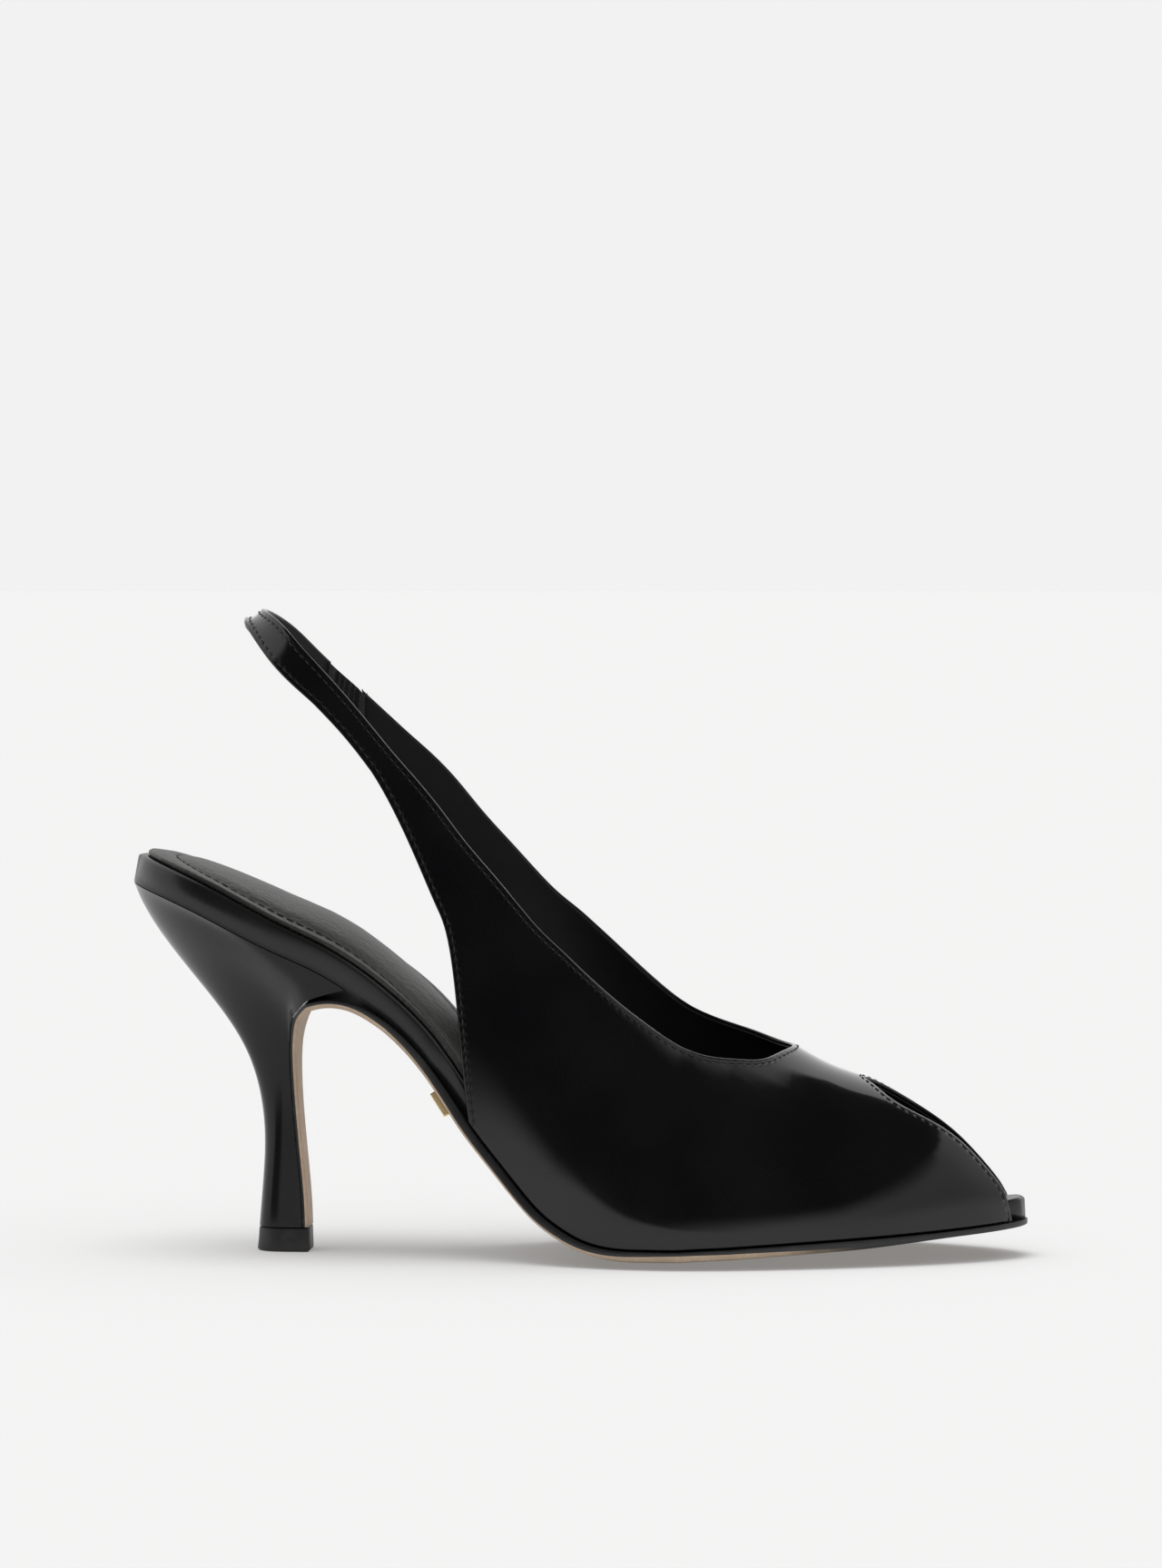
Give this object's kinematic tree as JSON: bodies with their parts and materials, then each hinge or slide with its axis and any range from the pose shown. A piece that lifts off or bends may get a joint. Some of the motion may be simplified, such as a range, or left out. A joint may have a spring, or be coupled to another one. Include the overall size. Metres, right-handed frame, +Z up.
{
  "type": "peep toe slingback pump",
  "caption": "Women's right slingback pump with a pointed peep toe, a high slim covered heel, an elastic gore in the sling and a thin leather sole.",
  "frame": {"origin": "middle of the heel tip's floor face", "axes": "+X towards the toe, +Y to the inner (medial) side of the foot, +Z up from the floor"},
  "size_m": [0.2169, 0.0783, 0.1568],
  "materials": {
    "upper_leather": "high-gloss black leather",
    "elastic": "black ruched elastic",
    "board_leather": "black leather wrap, satin",
    "sock_leather": "dark olive-grey leather, fine grain",
    "sole_leather": "beige sole leather with a black-painted edge",
    "heel_covering": "glossy black leather covering",
    "tip_rubber": "matt black rubber",
    "gold_metal": "polished gold-coloured metal"
  },
  "bodies": {
    "root": {"upper": "upper_leather", "elastic_gore": "elastic", "insole_board": "board_leather", "sock": "sock_leather", "outsole": "sole_leather", "heel": "heel_covering", "top_piece": "tip_rubber", "sole_plate": "gold_metal"}
  },
  "joints": []
}
